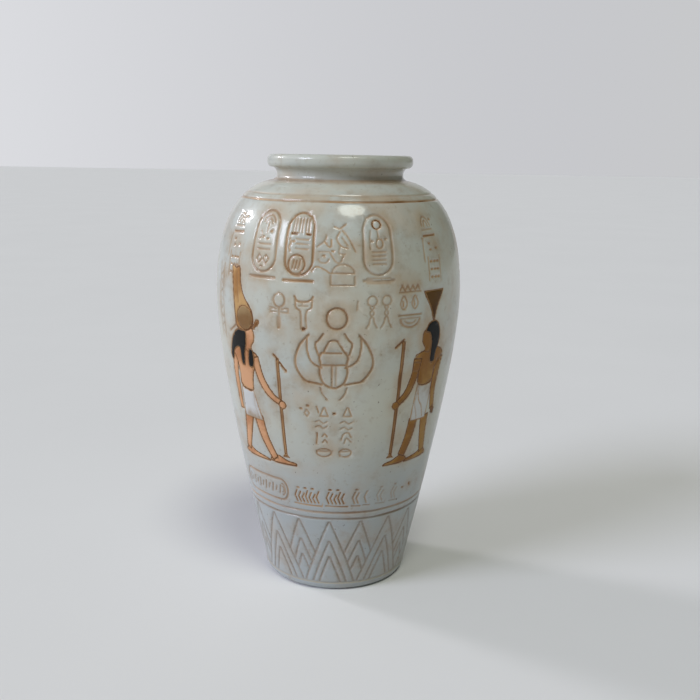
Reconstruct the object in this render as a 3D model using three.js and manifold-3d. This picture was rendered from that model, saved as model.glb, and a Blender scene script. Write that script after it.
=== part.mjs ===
// Ornamental jar in the Egyptian manner: a tall hollow vessel with a narrow foot, a high wide shoulder,
// a short neck and a rounded turned-out lip, carved all round with rings, cartouches, a winged scarab,
// two standing figures and a band of chevrons.
// Millimetres, +Z up. The origin is the centre of the underside, and the front faces -Y.
import * as THREE from 'three';
import { mergeVertices } from 'three/addons/utils/BufferGeometryUtils.js';
import Module from 'manifold-3d';

// The vessel
const HEIGHT = 420;
const BELLY_RADIUS = 120;
const BELLY_HEIGHT = 288;
const FOOT_RADIUS = 72.4;
const FOOT_EDGE_WIDTH = 7;
const FOOT_EDGE_HEIGHT = 9;
const FOOT_FLARE = 0.216;
const SHOULDER_RADIUS = 67;
const SHOULDER_FULLNESS = 52;
const NECK_RADIUS = 60.8;
const NECK_HEIGHT = 12.2;
const LIP_RADIUS = 70.2;
const LIP_THICKNESS = 12;
const LIP_ROUND = 4.4;
const MOUTH_ROUND = 2.4;
const WALL = 7;
const FLOOR = 9;
const INNER_CORNER = 9;

// How the curves of the wall and the neck leave their ends, as shares of their own run
const FOOT_REACH = 0.39;
const BELLY_REACH = 0.2;
const SHOULDER_REACH = 0.75;
const SHOULDER_DROP = 0.074;
const COVE_RISE = 0.45;
const INNER_LOWEST = 0.03;
const INNER_HIGHEST = 0.9;

// Facets of the turned shape
const FACETS = 32;
const LOWER_ROWS = 4;
const SHOULDER_ROWS = 6;
const INNER_ROWS = 3;

// The carving: V-shaped grooves, wide and deep for outlines, finer for the marks inside them
const LINE_WIDTH = 2.6;
const LINE_DEPTH = 1.5;
const MARK_WIDTH = 2;
const MARK_DEPTH = 1.1;
const CUTTER_LIFT = 2.4;
const SHARPEST_MITRE = 1.5;

// The carving is drawn on a grid laid round the wall, up to the shoulder, and stretches with the wall.
// A cell is about a millimetre each way on the belly. A place is [columns across from the front, rows up].
const GRID_COLUMNS = 754;
const GRID_ROWS = 397;
const LONGEST_STEP = 28;

// Rings round the body, in rows of the grid
const RING_ROWS = [82.5, 89.5, 381.5];

// The band of chevrons round the foot, in cells of the grid
const CHEVRON_COUNT = 18;
const CHEVRON_FIRST = -8;
const CHEVRON_BASE = 9;
const CHEVRON_TOP = 79;
const CHEVRON_SLOPE = 1.75;
const CHEVRON_NESTED_TOP = 54;

const wasm = await Module();
wasm.setup();

const shoulderTop = HEIGHT - LIP_THICKNESS - NECK_HEIGHT;
const lipUnderside = HEIGHT - LIP_THICKNESS;

const vector = (radius, up) => new THREE.Vector2(radius, up);

// The outer wall: a long curve from the foot to the belly, then the shoulder's curve up to the neck
const footRise = FOOT_REACH * BELLY_HEIGHT;
const lowerWall = new THREE.CubicBezierCurve(
  vector(FOOT_RADIUS, FOOT_EDGE_HEIGHT),
  vector(FOOT_RADIUS + FOOT_FLARE * footRise, FOOT_EDGE_HEIGHT + footRise),
  vector(BELLY_RADIUS, (1 - BELLY_REACH) * BELLY_HEIGHT),
  vector(BELLY_RADIUS, BELLY_HEIGHT),
);
const shoulderWidth = BELLY_RADIUS - SHOULDER_RADIUS;
const shoulderRise = shoulderTop - BELLY_HEIGHT;
const shoulder = new THREE.CubicBezierCurve(
  vector(BELLY_RADIUS, BELLY_HEIGHT),
  vector(BELLY_RADIUS, BELLY_HEIGHT + SHOULDER_FULLNESS),
  vector(SHOULDER_RADIUS + SHOULDER_REACH * shoulderWidth, shoulderTop - SHOULDER_DROP * shoulderRise),
  vector(SHOULDER_RADIUS, shoulderTop),
);

// Points of a curve, moved in by a distance at right angles to it
function curveRows(curve, rows, inset, from = 0, to = 1) {
  return Array.from({ length: rows + 1 }, (_, row) => {
    const share = from + (to - from) * row / rows;
    const tangent = curve.getTangent(share);
    return curve.getPoint(share).add(vector(-tangent.y, tangent.x).multiplyScalar(inset));
  });
}

// A quarter of an ellipse from one point to another, leaving the first along the radius or along the height
function quarter(from, to, leavesAlongRadius, rows) {
  return Array.from({ length: rows + 1 }, (_, row) => {
    const angle = Math.PI / 2 * row / rows;
    const slow = 1 - Math.cos(angle);
    const fast = Math.sin(angle);
    const radiusShare = leavesAlongRadius ? fast : slow;
    const upShare = leavesAlongRadius ? slow : fast;
    return vector(from.x + (to.x - from.x) * radiusShare, from.y + (to.y - from.y) * upShare);
  });
}

const wallRows = [...curveRows(lowerWall, LOWER_ROWS, 0), ...curveRows(shoulder, SHOULDER_ROWS, 0).slice(1)];

// The place on the wall's rows at a height of the drawing, with the direction that the wall faces there
function wallSection(up) {
  const height = shoulderTop * up / GRID_ROWS;
  const last = wallRows.length - 1;
  const above = wallRows.findIndex((row, index) => index > 0 && (row.y > height || index === last));
  const low = wallRows[above - 1];
  const high = wallRows[above];
  const share = (height - low.y) / (high.y - low.y);
  return {
    place: vector(low.x + (high.x - low.x) * share, height),
    outward: vector(high.y - low.y, low.x - high.x).normalize(),
  };
}

// The wall's rows with a V-shaped groove let in at each ring
function grooveRows() {
  const grooves = RING_ROWS.map((up) => {
    const { place, outward } = wallSection(up);
    const along = vector(-outward.y, outward.x).multiplyScalar(0.5 * LINE_WIDTH);
    const bottom = place.clone().addScaledVector(outward, -LINE_DEPTH);
    return { height: place.y, rows: [place.clone().sub(along), bottom, place.clone().add(along)] };
  });
  const clearOfGrooves = (row) => grooves.every(({ height }) => Math.abs(row.y - height) > LINE_WIDTH);
  const plain = wallRows.filter(clearOfGrooves).map((row) => ({ height: row.y, rows: [row] }));
  return [...plain, ...grooves].sort((one, other) => one.height - other.height).flatMap(({ rows }) => rows);
}

function outerProfile() {
  const edge = vector(FOOT_RADIUS - FOOT_EDGE_WIDTH, 0);
  const waist = vector(NECK_RADIUS, shoulderTop + COVE_RISE * NECK_HEIGHT);
  const lipInset = vector(LIP_RADIUS - LIP_ROUND, lipUnderside);
  return [
    ...quarter(edge, vector(FOOT_RADIUS, FOOT_EDGE_HEIGHT), true, 3).slice(0, -1),
    ...grooveRows().slice(0, -1),
    ...quarter(vector(SHOULDER_RADIUS, shoulderTop), waist, true, 2),
    ...quarter(waist, lipInset, false, 3).slice(1),
    ...quarter(lipInset, vector(LIP_RADIUS, lipUnderside + LIP_ROUND), true, 2).slice(1),
    ...quarter(vector(LIP_RADIUS, HEIGHT - LIP_ROUND), vector(LIP_RADIUS - LIP_ROUND, HEIGHT), false, 2),
  ];
}

function innerProfile() {
  const mouth = NECK_RADIUS - WALL;
  const shoulderInside = curveRows(shoulder, INNER_ROWS, WALL, INNER_HIGHEST, 0);
  const lowerInside = curveRows(lowerWall, INNER_ROWS, WALL, 1, INNER_LOWEST);
  const lowest = lowerInside.at(-1);
  return [
    ...quarter(vector(mouth + MOUTH_ROUND, HEIGHT), vector(mouth, HEIGHT - MOUTH_ROUND), true, 2),
    vector(mouth, shoulderTop - 0.5 * WALL),
    ...shoulderInside,
    ...lowerInside.slice(1, -1),
    ...quarter(lowest, vector(lowest.x - INNER_CORNER, FLOOR), false, 2),
    vector(0, FLOOR),
  ];
}

// A closed mesh as a solid that can be cut and joined
function solid(geometry) {
  const bare = geometry.clone();
  bare.deleteAttribute('normal');
  bare.deleteAttribute('uv');
  const merged = mergeVertices(bare, 1e-4);
  const corners = merged.index.array;
  const kept = [];
  for (let first = 0; first < corners.length; first += 3) {
    const [a, b, c] = corners.slice(first, first + 3);
    if (a !== b && b !== c && c !== a) kept.push(a, b, c);
  }
  const vertProperties = new Float32Array(merged.attributes.position.array);
  return new wasm.Manifold(new wasm.Mesh({ numProp: 3, vertProperties, triVerts: new Uint32Array(kept) }));
}

function turned(profile) {
  return solid(new THREE.LatheGeometry(profile, FACETS).rotateX(Math.PI / 2));
}

// The point of the wall at a place of the drawing.
// It lies on the facets, so that every groove is as deep as it should be.
function wallPoint([across, up]) {
  const { place, outward } = wallSection(up);
  const angle = 2 * Math.PI * across / GRID_COLUMNS;
  const facet = 2 * Math.PI / FACETS;
  const turn = THREE.MathUtils.euclideanModulo(angle, facet) - facet / 2;
  const radius = place.x * Math.cos(facet / 2) / Math.cos(turn);
  return {
    point: new THREE.Vector3(radius * Math.sin(angle), -radius * Math.cos(angle), place.y),
    normal: new THREE.Vector3(outward.x * Math.sin(angle), -outward.x * Math.cos(angle), outward.y),
  };
}

// Points added along a stroke, so that no step is long enough to leave the round wall
function withSteps({ points, closed }) {
  const corners = closed ? [...points, points[0]] : points;
  const all = [];
  for (let index = 0; index + 1 < corners.length; index += 1) {
    const [from, to] = [corners[index], corners[index + 1]];
    const steps = Math.max(1, Math.ceil(Math.abs(to[0] - from[0]) / LONGEST_STEP));
    for (let step = 0; step < steps; step += 1) {
      const share = step / steps;
      all.push([from[0] + (to[0] - from[0]) * share, from[1] + (to[1] - from[1]) * share]);
    }
  }
  return closed ? all : [...all, corners.at(-1)];
}

// The solid that cuts one stroke: a V-shaped section carried along it on the wall
function cutter(stroke) {
  const spots = withSteps(stroke).map(wallPoint);
  const count = spots.length;
  const width = stroke.fine ? MARK_WIDTH : LINE_WIDTH;
  const depth = stroke.fine ? MARK_DEPTH : LINE_DEPTH;
  const positions = [];
  spots.forEach((spot, index) => {
    const before = spots[stroke.closed ? (index + count - 1) % count : Math.max(index - 1, 0)].point;
    const after = spots[stroke.closed ? (index + 1) % count : Math.min(index + 1, count - 1)].point;
    const arriving = spot.point.clone().sub(before).normalize();
    const leaving = after.clone().sub(spot.point).normalize();
    const along = arriving.clone().add(leaving).normalize();
    const mitre = Math.min(SHARPEST_MITRE, 1 / Math.max(along.dot(leaving), along.dot(arriving)));
    const side = new THREE.Vector3().crossVectors(spot.normal, along).normalize();
    const reach = 0.5 * width * mitre * (1 + CUTTER_LIFT / depth);
    const top = spot.point.clone().addScaledVector(spot.normal, CUTTER_LIFT);
    positions.push(...top.clone().addScaledVector(side, reach));
    positions.push(...top.clone().addScaledVector(side, -reach));
    positions.push(...spot.point.clone().addScaledVector(spot.normal, -depth));
  });
  const faces = [];
  const links = stroke.closed ? count : count - 1;
  for (let index = 0; index < links; index += 1) {
    const near = 3 * index;
    const far = 3 * ((index + 1) % count);
    for (let corner = 0; corner < 3; corner += 1) {
      const next = (corner + 1) % 3;
      faces.push(near + corner, near + next, far + corner);
      faces.push(near + next, far + next, far + corner);
    }
  }
  if (!stroke.closed) {
    const last = 3 * (count - 1);
    faces.push(2, 1, 0, last, last + 1, last + 2);
  }
  const geometry = new THREE.BufferGeometry();
  geometry.setAttribute('position', new THREE.Float32BufferAttribute(positions, 3));
  geometry.setIndex(faces);
  return solid(geometry);
}

// Strokes of the drawing
const line = (...points) => ({ points, closed: false, fine: false });
const mark = (...points) => ({ points, closed: false, fine: true });
const outline = (...points) => ({ points, closed: true, fine: false });
const fine = (strokes) => strokes.map((stroke) => ({ ...stroke, fine: true }));

function arc(centre, radii, from, to, steps) {
  return Array.from({ length: steps + 1 }, (_, step) => {
    const angle = THREE.MathUtils.degToRad(from + (to - from) * step / steps);
    return [centre[0] + radii[0] * Math.cos(angle), centre[1] + radii[1] * Math.sin(angle)];
  });
}

const circle = (centre, radius, sides) => outline(...arc(centre, [radius, radius], 0, 360, sides).slice(1));

// An upright or lying oval with round ends
function ovalOutline(left, right, bottom, top) {
  const half = 0.5 * Math.min(right - left, top - bottom);
  if (top - bottom > right - left) {
    const middle = 0.5 * (left + right);
    const head = arc([middle, top - half], [half, half], 0, 180, 4);
    return outline(...head, ...arc([middle, bottom + half], [half, half], 180, 360, 4));
  }
  const middle = 0.5 * (bottom + top);
  const end = arc([left + half, middle], [half, half], 90, 270, 4);
  return outline(...end, ...arc([right - half, middle], [half, half], -90, 90, 4));
}

// Rows of short strokes that only fill a space
function markRows(left, right, heights) {
  const third = (right - left) / 3;
  return heights.map((up, row) => {
    const across = row % 2 ? left + third : left;
    return mark([across, up], [across + 2 * third, up]);
  });
}

function cartouche(left, right, bottom, top) {
  return [
    ovalOutline(left, right, bottom, top),
    line([left, bottom - 4.5], [right, bottom - 4.5]),
    ...markRows(left + 6, right - 6, [top - 16, top - 34]),
  ];
}

function loopedCross(across, up) {
  return [
    outline(...arc([across, up + 27], [5.5, 6], 0, 360, 8).slice(1)),
    line([across - 9, up + 17], [across + 8, up + 17]),
    line([across, up + 19], [across, up]),
  ];
}

function hornedStaff(across, up) {
  return [
    line([across - 8, up + 31], [across - 6, up + 23], [across + 6, up + 23], [across + 8, up + 31]),
    line([across - 1.5, up + 22], [across - 1.5, up]),
    mark([across + 4, up + 20], [across + 2.5, up + 2]),
  ];
}

function twistedWick(across, up) {
  return [
    ...fine([outline(...arc([across, up + 23], [4, 5], 0, 360, 6).slice(1))]),
    mark([across, up + 18], [across - 1.5, up + 8], [across - 5, up]),
    mark([across + 1, up + 10], [across + 5, up]),
  ];
}

function basketGroup(left, up) {
  const basket = arc([left + 12, up + 10], [12, 10], 180, 360, 4);
  return [
    ...fine([outline(...basket)]),
    ...fine([4, 16].map((across) => outline(...arc([left + across, up + 23], [3.5, 6], 0, 360, 5).slice(1)))),
    mark([left, up + 32.5], [left + 23, up + 32.5]),
    mark([left + 2, up + 39], [left + 21, up + 39]),
  ];
}

function scarab(across, up) {
  const place = (...places) => places.map(([right, above]) => [across + right, up + above]);
  const wing = (side) => [
    line(...place([side * 23, 27], [side * 37, 8], [side * 33, -10], [side * 13, -18])),
    line(...place([side * 24, 26], [side * 22, 6], [side * 11, -3])),
    line(...place([side * 10, 28], [side * 17, 20], [side * 13, 10])),
    line(...place([side * 11, -21], [side * 10, -29], [side * 6, -34])),
  ];
  return [
    ...wing(-1),
    ...wing(1),
    line(...arc([across, up + 11], [8.5, 12], 0, 180, 5)),
    outline(...place([-12, 1], [-11, 8], [-7, 11], [7, 11], [11, 8], [12, 1], [8, -1], [-8, -1])),
    line(...place([-12, -1], [-11, -15], [0, -22], [11, -15], [12, -1])),
    line(...place([0, -1], [0, -21])),
  ];
}

// A standing figure seen from the side, drawn walking towards +across and turned round by facing
function figure(feetAcross, ground, facing, headdress) {
  const place = (...places) => places.map(([ahead, above]) => [feetAcross + facing * ahead, ground + above]);
  const staffAhead = 42;
  return [
    // staff with its slanted head
    line(...place([staffAhead, 8], [staffAhead, 108])),
    line(...place([staffAhead + 8, 93], [staffAhead - 1, 108])),
    // head, neck and the wig's two falls
    line(...place([13, 112], [15, 124], [12, 134], [4, 137], [-5, 133], [-10, 120])),
    outline(...place([-4, 124], [5, 124], [3, 98], [-6, 98])),
    line(...place([-10, 122], [-19, 112], [-24, 98])),
    // shoulders, chest and waist
    line(...place([11, 110], [17, 103], [10, 88], [6, 74])),
    line(...place([-20, 104], [-15, 88], [-11, 74])),
    // near arm held out to the staff, far arm hanging
    line(...place([19, 101], [23, 84], [31, 70], [43, 63])),
    line(...place([11, 90], [18, 73], [27, 62], [42, 57])),
    line(...place([-22, 100], [-23, 76], [-20, 46])),
    // belt and kilt
    outline(...place([-12, 73], [6, 70], [15, 42], [-14, 42])),
    line(...place([-1, 71], [7, 42])),
    // legs and feet
    line(...place([15, 42], [20, 26], [30, 10], [40, 5], [54, 1])),
    line(...place([3, 42], [10, 22], [21, 3])),
    line(...place([21, 0], [54, 0])),
    line(...place([-2, 42], [-7, 22], [-14, 9], [15, 1])),
    line(...place([-13, 42], [-20, 22], [-25, 2])),
    line(...place([-25, 0], [15, 0])),
    ...headdress(place),
  ];
}

const tallCrown = (place) => [
  outline(...place([-16, 184], [-4, 184], [1, 160], [11, 150], [14, 136], [-10, 134], [-14, 160])),
  line(...arc(place([4, 140])[0], [11, 11], 0, 180, 4)),
];

const wedgeCrown = (place) => [outline(...place([-16, 166], [14, 166], [0, 140]))];

function chevron(across, top, bottom) {
  const reach = (top - bottom) / CHEVRON_SLOPE;
  return line([across - reach, bottom], [across, top], [across + reach, bottom]);
}

// Every other chevron runs down to the foot, with a smaller one nested in it.
// Those between end where they go behind their neighbours.
function chevronBand() {
  const spacing = GRID_COLUMNS / CHEVRON_COUNT;
  const crossing = CHEVRON_TOP - 0.5 * CHEVRON_SLOPE * spacing;
  return Array.from({ length: CHEVRON_COUNT }, (_, index) => CHEVRON_FIRST + spacing * index)
    .flatMap((across, index) => (index % 2
      ? [chevron(across, CHEVRON_TOP, crossing)]
      : [chevron(across, CHEVRON_TOP, CHEVRON_BASE), chevron(across, CHEVRON_NESTED_TOP, CHEVRON_BASE)]));
}

function carving() {
  return [
    ...chevronBand(),
    // top row
    ...cartouche(-87, -60, 320, 373),
    ...cartouche(-50, -23.5, 319, 372),
    ...cartouche(22.5, 50, 320, 371),
    ...markRows(-18, 10, [356, 346, 336]),
    ...fine([outline([-7, 311], [14, 311], [14, 320], [-7, 320])]),
    ...markRows(87, 110, [352, 326]),
    ...markRows(-126, -106, [352, 330]),
    // middle row
    ...loopedCross(-54, 270),
    ...hornedStaff(-30, 270),
    circle([-1, 282.5], 9, 12),
    ...twistedWick(30, 273),
    ...twistedWick(43, 273),
    ...basketGroup(56, 272),
    ...scarab(-4, 241),
    ...markRows(-23, -9, [190, 160]),
    ...markRows(3, 17, [190, 160]),
    // bottom row
    ovalOutline(-128, -61, 97, 119),
    ...[-44, -26, -8, 10, 28].map((across) => mark([across - 4, 99], [across + 4, 113])),
    ...figure(-99, 137, 1, tallCrown),
    ...figure(98, 137, -1, wedgeCrown),
    ...backCarving(),
  ];
}

// The back, which carries the same rows more plainly
function backCarving() {
  const back = 0.5 * GRID_COLUMNS;
  return [
    ...[-62, 0, 62].map((across) => ovalOutline(back + across - 14, back + across + 14, 320, 372)),
    circle([back, 282.5], 9, 10),
  ];
}

const jar = new THREE.Mesh(
  jarGeometry(),
  new THREE.MeshStandardMaterial({ color: 0xb9b6a2, roughness: 0.28, metalness: 0 }),
);
jar.name = 'jar';

function jarGeometry() {
  const body = turned([vector(0, 0), ...outerProfile(), ...innerProfile()]);
  const carved = body.subtract(wasm.Manifold.union(carving().map(cutter)));
  const mesh = carved.getMesh();
  const geometry = new THREE.BufferGeometry();
  geometry.setAttribute('position', new THREE.Float32BufferAttribute(mesh.vertProperties, 3));
  geometry.setIndex(Array.from(mesh.triVerts));
  geometry.computeVertexNormals();
  return geometry;
}

const part = new THREE.Group();
part.add(jar);

export default part;
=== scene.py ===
"""An ornamental jar in the Egyptian manner: a pale cast body, carved all round, stained tan in its cuts,
painted in a few places and varnished. The drawing on its wall is cut into the mesh itself."""
import math

import bmesh
import bpy
import numpy as np
from mathutils import Matrix, Vector, kdtree, noise


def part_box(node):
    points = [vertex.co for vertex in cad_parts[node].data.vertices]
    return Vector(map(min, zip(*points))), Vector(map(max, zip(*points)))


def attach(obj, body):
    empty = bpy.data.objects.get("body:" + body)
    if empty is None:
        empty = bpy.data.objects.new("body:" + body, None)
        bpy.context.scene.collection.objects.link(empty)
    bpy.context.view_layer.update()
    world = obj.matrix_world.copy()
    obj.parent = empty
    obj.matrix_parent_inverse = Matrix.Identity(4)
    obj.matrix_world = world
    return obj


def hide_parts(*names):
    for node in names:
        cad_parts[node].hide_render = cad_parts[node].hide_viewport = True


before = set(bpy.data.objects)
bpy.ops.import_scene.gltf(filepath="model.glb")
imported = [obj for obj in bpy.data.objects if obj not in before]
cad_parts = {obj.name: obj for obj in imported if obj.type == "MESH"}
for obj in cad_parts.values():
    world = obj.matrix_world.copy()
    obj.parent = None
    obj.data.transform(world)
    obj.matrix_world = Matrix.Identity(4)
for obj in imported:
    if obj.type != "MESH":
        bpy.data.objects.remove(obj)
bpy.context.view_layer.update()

MM = 0.001

# The vessel, in millimetres
low_corner, high_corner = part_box("jar")
HEIGHT = (high_corner.z - low_corner.z) / MM
BELLY_RADIUS = 0.5 * (high_corner.x - low_corner.x) / MM
BELLY_HEIGHT = 288
FOOT_RADIUS = 72.4
FOOT_EDGE_WIDTH = 7
FOOT_EDGE_HEIGHT = 9
FOOT_FLARE = 0.216
SHOULDER_RADIUS = 67
SHOULDER_FULLNESS = 52
NECK_RADIUS = 60.8
NECK_HEIGHT = 12.2
LIP_RADIUS = 70.2
LIP_THICKNESS = 12
LIP_ROUND = 4.8
MOUTH_ROUND = 2.4
WALL = 7
FLOOR = 9
INNER_CORNER = 9
FOOT_REACH = 0.39
BELLY_REACH = 0.2
SHOULDER_REACH = 0.75
SHOULDER_DROP = 0.074
COVE_RISE = 0.45
CURVE_STEPS = 400

# The turned mesh, in millimetres
SEGMENTS = 100
ROW_SPACING = 7.4
RING_ROW_OFFSETS = (-3.2, -2.2, -1.5, -0.9, -0.3, 0.3, 0.9, 1.5, 2.2, 3.2)
RING_ROW_GAP = 0.5
INNER_STRIDE = 20
MOUTH_CLEARANCE = 3
MOUTH_ROWS = (13, 7, 0, -3)
FINEST_EDGE = 1.4
LONGEST_SLANT = 2.6
CARVED_MARGIN = 0.3
THINNEST = 0.01
MEND_ROUNDS = 2
SAME_PLACE = 0.002

# The drawing's grid: a place is (columns across from the front, rows up), about a millimetre each
GRID_COLUMNS = 754
GRID_ROWS = 397

# Cuts and marks, in millimetres
MARK_WIDTH = 1.8
MARK_DEPTH = 0.8
DOT_LENGTH = 1.2
DOT_WIDTH = 2.6
STAFF_HALF_WIDTH = 1.3
CLUSTER_SPACING = 4.6
SAMPLE_STEP = 0.4
GROOVE_SPREAD = 1.25

# The turned rings: rows up, depth and stain of each
RINGS = ((82.5, 1.2, 0.85), (89.5, 1.1, 0.75), (381.5, 1.0, 0.95), (386.5, 0.5, 0.35))
RING_HALF_WIDTH = 1.35

# What the hand leaves uneven, in millimetres
HAND_WANDER = 0.35
HAND_WANDER_LENGTH = 18
RING_WANDER = 0.7
RING_WANDER_LENGTH = 30
RING_STAIN_LENGTH = 22
WALL_UNEVENNESS = 0.35
WALL_UNEVENNESS_LENGTH = 45
UNEVENNESS_FADE = 12

# Where the tan stain lies round the cuts
STAINED_BANDS = ((80, 92), (380.5, 387.5))
BAND_FADE = 2.5
BAND_STAIN = 0.9
HALO_REACH = 9
HALO_FADE = 6
GROOVE_STAIN_REACH = 1.15
GROOVE_STAIN_FULLNESS = 1.35
NECK_STAIN = 0.25
NECK_CORNER_STAIN = 0.6
NECK_CORNER_RISE = 0.8
NECK_CORNER_REACH = 1.1

# The band of chevrons
CHEVRON_COUNT = 18
CHEVRON_FIRST = -8
CHEVRON_BASE = 9
CHEVRON_TOP = 79
CHEVRON_SLOPE = 1.75
CHEVRON_NESTED_TOPS = (57, 39)

shoulder_top = HEIGHT - LIP_THICKNESS - NECK_HEIGHT
lip_underside = HEIGHT - LIP_THICKNESS


def colour(red, green, blue):
    """A colour written as 0 to 255, as the shader's own linear numbers."""
    return tuple((channel / 255 / 12.92) if channel <= 10 else ((channel / 255 + 0.055) / 1.055) ** 2.4
                 for channel in (red, green, blue))


FLESH = colour(206, 156, 116)
FLESH_IN_SHADE = colour(162, 123, 62)
WIG = colour(8, 8, 10)
KILT = colour(196, 197, 194)
CROWN = colour(186, 148, 96)
CROWN_DARK = colour(148, 122, 84)
BROWN = colour(134, 94, 52)
DARK_GOLD = colour(90, 60, 10)


# The turned form

def bezier(start, leaving, arriving, end):
    """A curve from start to end, drawn towards two points on its way."""
    share = np.linspace(0, 1, CURVE_STEPS + 1)[:, None]
    rest = 1 - share
    start, leaving, arriving, end = (np.array(point, float) for point in (start, leaving, arriving, end))
    return (rest ** 3 * start + 3 * rest ** 2 * share * leaving
            + 3 * rest * share ** 2 * arriving + share ** 3 * end)


def outer_wall():
    """(radius, height) all the way up the outer wall, from the foot's edge to the neck."""
    foot_rise = FOOT_REACH * BELLY_HEIGHT
    width = BELLY_RADIUS - SHOULDER_RADIUS
    rise = shoulder_top - BELLY_HEIGHT
    lower = bezier((FOOT_RADIUS, FOOT_EDGE_HEIGHT),
                   (FOOT_RADIUS + FOOT_FLARE * foot_rise, FOOT_EDGE_HEIGHT + foot_rise),
                   (BELLY_RADIUS, (1 - BELLY_REACH) * BELLY_HEIGHT),
                   (BELLY_RADIUS, BELLY_HEIGHT))
    upper = bezier((BELLY_RADIUS, BELLY_HEIGHT),
                   (BELLY_RADIUS, BELLY_HEIGHT + SHOULDER_FULLNESS),
                   (SHOULDER_RADIUS + SHOULDER_REACH * width, shoulder_top - SHOULDER_DROP * rise),
                   (SHOULDER_RADIUS, shoulder_top))
    return np.vstack([lower, upper[1:]])


wall_curve = outer_wall()
wall_lengths = np.concatenate([[0], np.cumsum(np.hypot(*np.diff(wall_curve, axis=0).T))])
wall_slope = np.gradient(wall_curve, axis=0)
wall_outward = np.stack([wall_slope[:, 1], -wall_slope[:, 0]], axis=1)
wall_outward /= np.linalg.norm(wall_outward, axis=1)[:, None]


def wall_radius(height):
    return np.interp(height, wall_curve[:, 1], wall_curve[:, 0])


def wall_facing(height):
    """How much the wall faces outwards and upwards at a height."""
    return tuple(np.interp(height, wall_curve[:, 1], wall_outward[:, part]) for part in (0, 1))


def quarter(start, end, leaves_along_radius, rows):
    """A quarter of an ellipse between two (radius, height) points."""
    points = []
    for row in range(rows + 1):
        angle = 0.5 * math.pi * row / rows
        slow, fast = 1 - math.cos(angle), math.sin(angle)
        radius_share, height_share = (fast, slow) if leaves_along_radius else (slow, fast)
        radius = start[0] + (end[0] - start[0]) * radius_share
        height = start[1] + (end[1] - start[1]) * height_share
        points.append((radius, height))
    return points


def wall_rows():
    """Rows up the outer wall, evenly spaced along it, and close together across each ring."""
    ring_heights = [up * shoulder_top / GRID_ROWS for up, depth, stain in RINGS]
    ring_lengths = [np.interp(height, wall_curve[:, 1], wall_lengths) for height in ring_heights]
    even = np.linspace(0, wall_lengths[-1], round(wall_lengths[-1] / ROW_SPACING) + 1)
    ring_reach = RING_ROW_OFFSETS[-1] + RING_ROW_GAP
    clear = [place for place in even if all(abs(place - ring) > ring_reach for ring in ring_lengths)]
    places = sorted(clear + [ring + offset for ring in ring_lengths for offset in RING_ROW_OFFSETS])
    return [tuple(np.interp(place, wall_lengths, wall_curve[:, part]) for part in (0, 1)) for place in places]


def inner_rows():
    """The inside, from the lip's top down to the middle of the floor."""
    mouth = NECK_RADIUS - WALL
    inset = wall_curve - WALL * wall_outward
    inner_wall = [tuple(point) for point in inset[::-INNER_STRIDE]
                  if point[0] > mouth + MOUTH_CLEARANCE and point[1] > FLOOR + INNER_CORNER]
    lowest = inner_wall[-1]
    return [
        *quarter((LIP_RADIUS - LIP_ROUND, HEIGHT), (mouth + MOUTH_ROUND, HEIGHT), True, 4),
        *quarter((mouth + MOUTH_ROUND, HEIGHT), (mouth, HEIGHT - MOUTH_ROUND), True, 5)[1:],
        *[(mouth, shoulder_top + above) for above in MOUTH_ROWS],
        *inner_wall,
        *quarter(lowest, (lowest[0] - INNER_CORNER, FLOOR), False, 6)[1:],
        *[(share * (lowest[0] - INNER_CORNER), FLOOR) for share in (0.75, 0.5, 0.25)],
        (0, FLOOR),
    ]


def jar_profile():
    """(radius, height) all round half of the jar, from the middle of its underside to that of its floor."""
    edge = (FOOT_RADIUS - FOOT_EDGE_WIDTH, 0)
    waist = (NECK_RADIUS, shoulder_top + COVE_RISE * NECK_HEIGHT)
    lip_inset = (LIP_RADIUS - LIP_ROUND, lip_underside)
    return [
        (0, 0),
        *[(share * edge[0], 0) for share in (0.3, 0.6, 0.85)],
        *quarter(edge, (FOOT_RADIUS, FOOT_EDGE_HEIGHT), True, 8)[:-1],
        *wall_rows()[:-1],
        *quarter((SHOULDER_RADIUS, shoulder_top), waist, True, 6),
        *quarter(waist, lip_inset, False, 8)[1:],
        *quarter(lip_inset, (LIP_RADIUS, lip_inset[1] + LIP_ROUND), True, 5)[1:],
        *quarter((LIP_RADIUS, HEIGHT - LIP_ROUND), (LIP_RADIUS - LIP_ROUND, HEIGHT), False, 5),
        *inner_rows()[1:],
    ]


# The drawing

def arc(centre, radii, start, end, steps=24):
    angles = np.radians(np.linspace(start, end, steps + 1))
    return [(centre[0] + radii[0] * math.cos(a), centre[1] + radii[1] * math.sin(a)) for a in angles]


def oval(centre, radii):
    return arc(centre, radii, 0, 360)


def smooth(*points, closed=False, steps=8):
    """A curve through a few points."""
    points = [np.array(point, float) for point in points]
    if closed:
        around = [points[-1], *points, points[0], points[1]]
    else:
        around = [2 * points[0] - points[1], *points, 2 * points[-1] - points[-2]]
    curve = []
    for before, start, end, after in zip(around, around[1:], around[2:], around[3:]):
        for share in np.arange(steps) / steps:
            curve.append(0.5 * (2 * start + (end - before) * share
                                + (2 * before - 5 * start + 4 * end - after) * share ** 2
                                + (3 * start - before - 3 * end + after) * share ** 3))
    curve.append(around[-2])
    return [tuple(point) for point in curve]


def round_ended(left, right, bottom, top):
    """An oval with straight sides and round ends, standing or lying."""
    half = 0.5 * min(right - left, top - bottom)
    if top - bottom > right - left:
        middle = 0.5 * (left + right)
        one_end = arc((middle, top - half), (half, half), 0, 180)
        other_end = arc((middle, bottom + half), (half, half), 180, 360)
    else:
        middle = 0.5 * (bottom + top)
        one_end = arc((left + half, middle), (half, half), 90, 270)
        other_end = arc((right - half, middle), (half, half), -90, 90)
    return one_end + other_end + one_end[:1]


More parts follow.
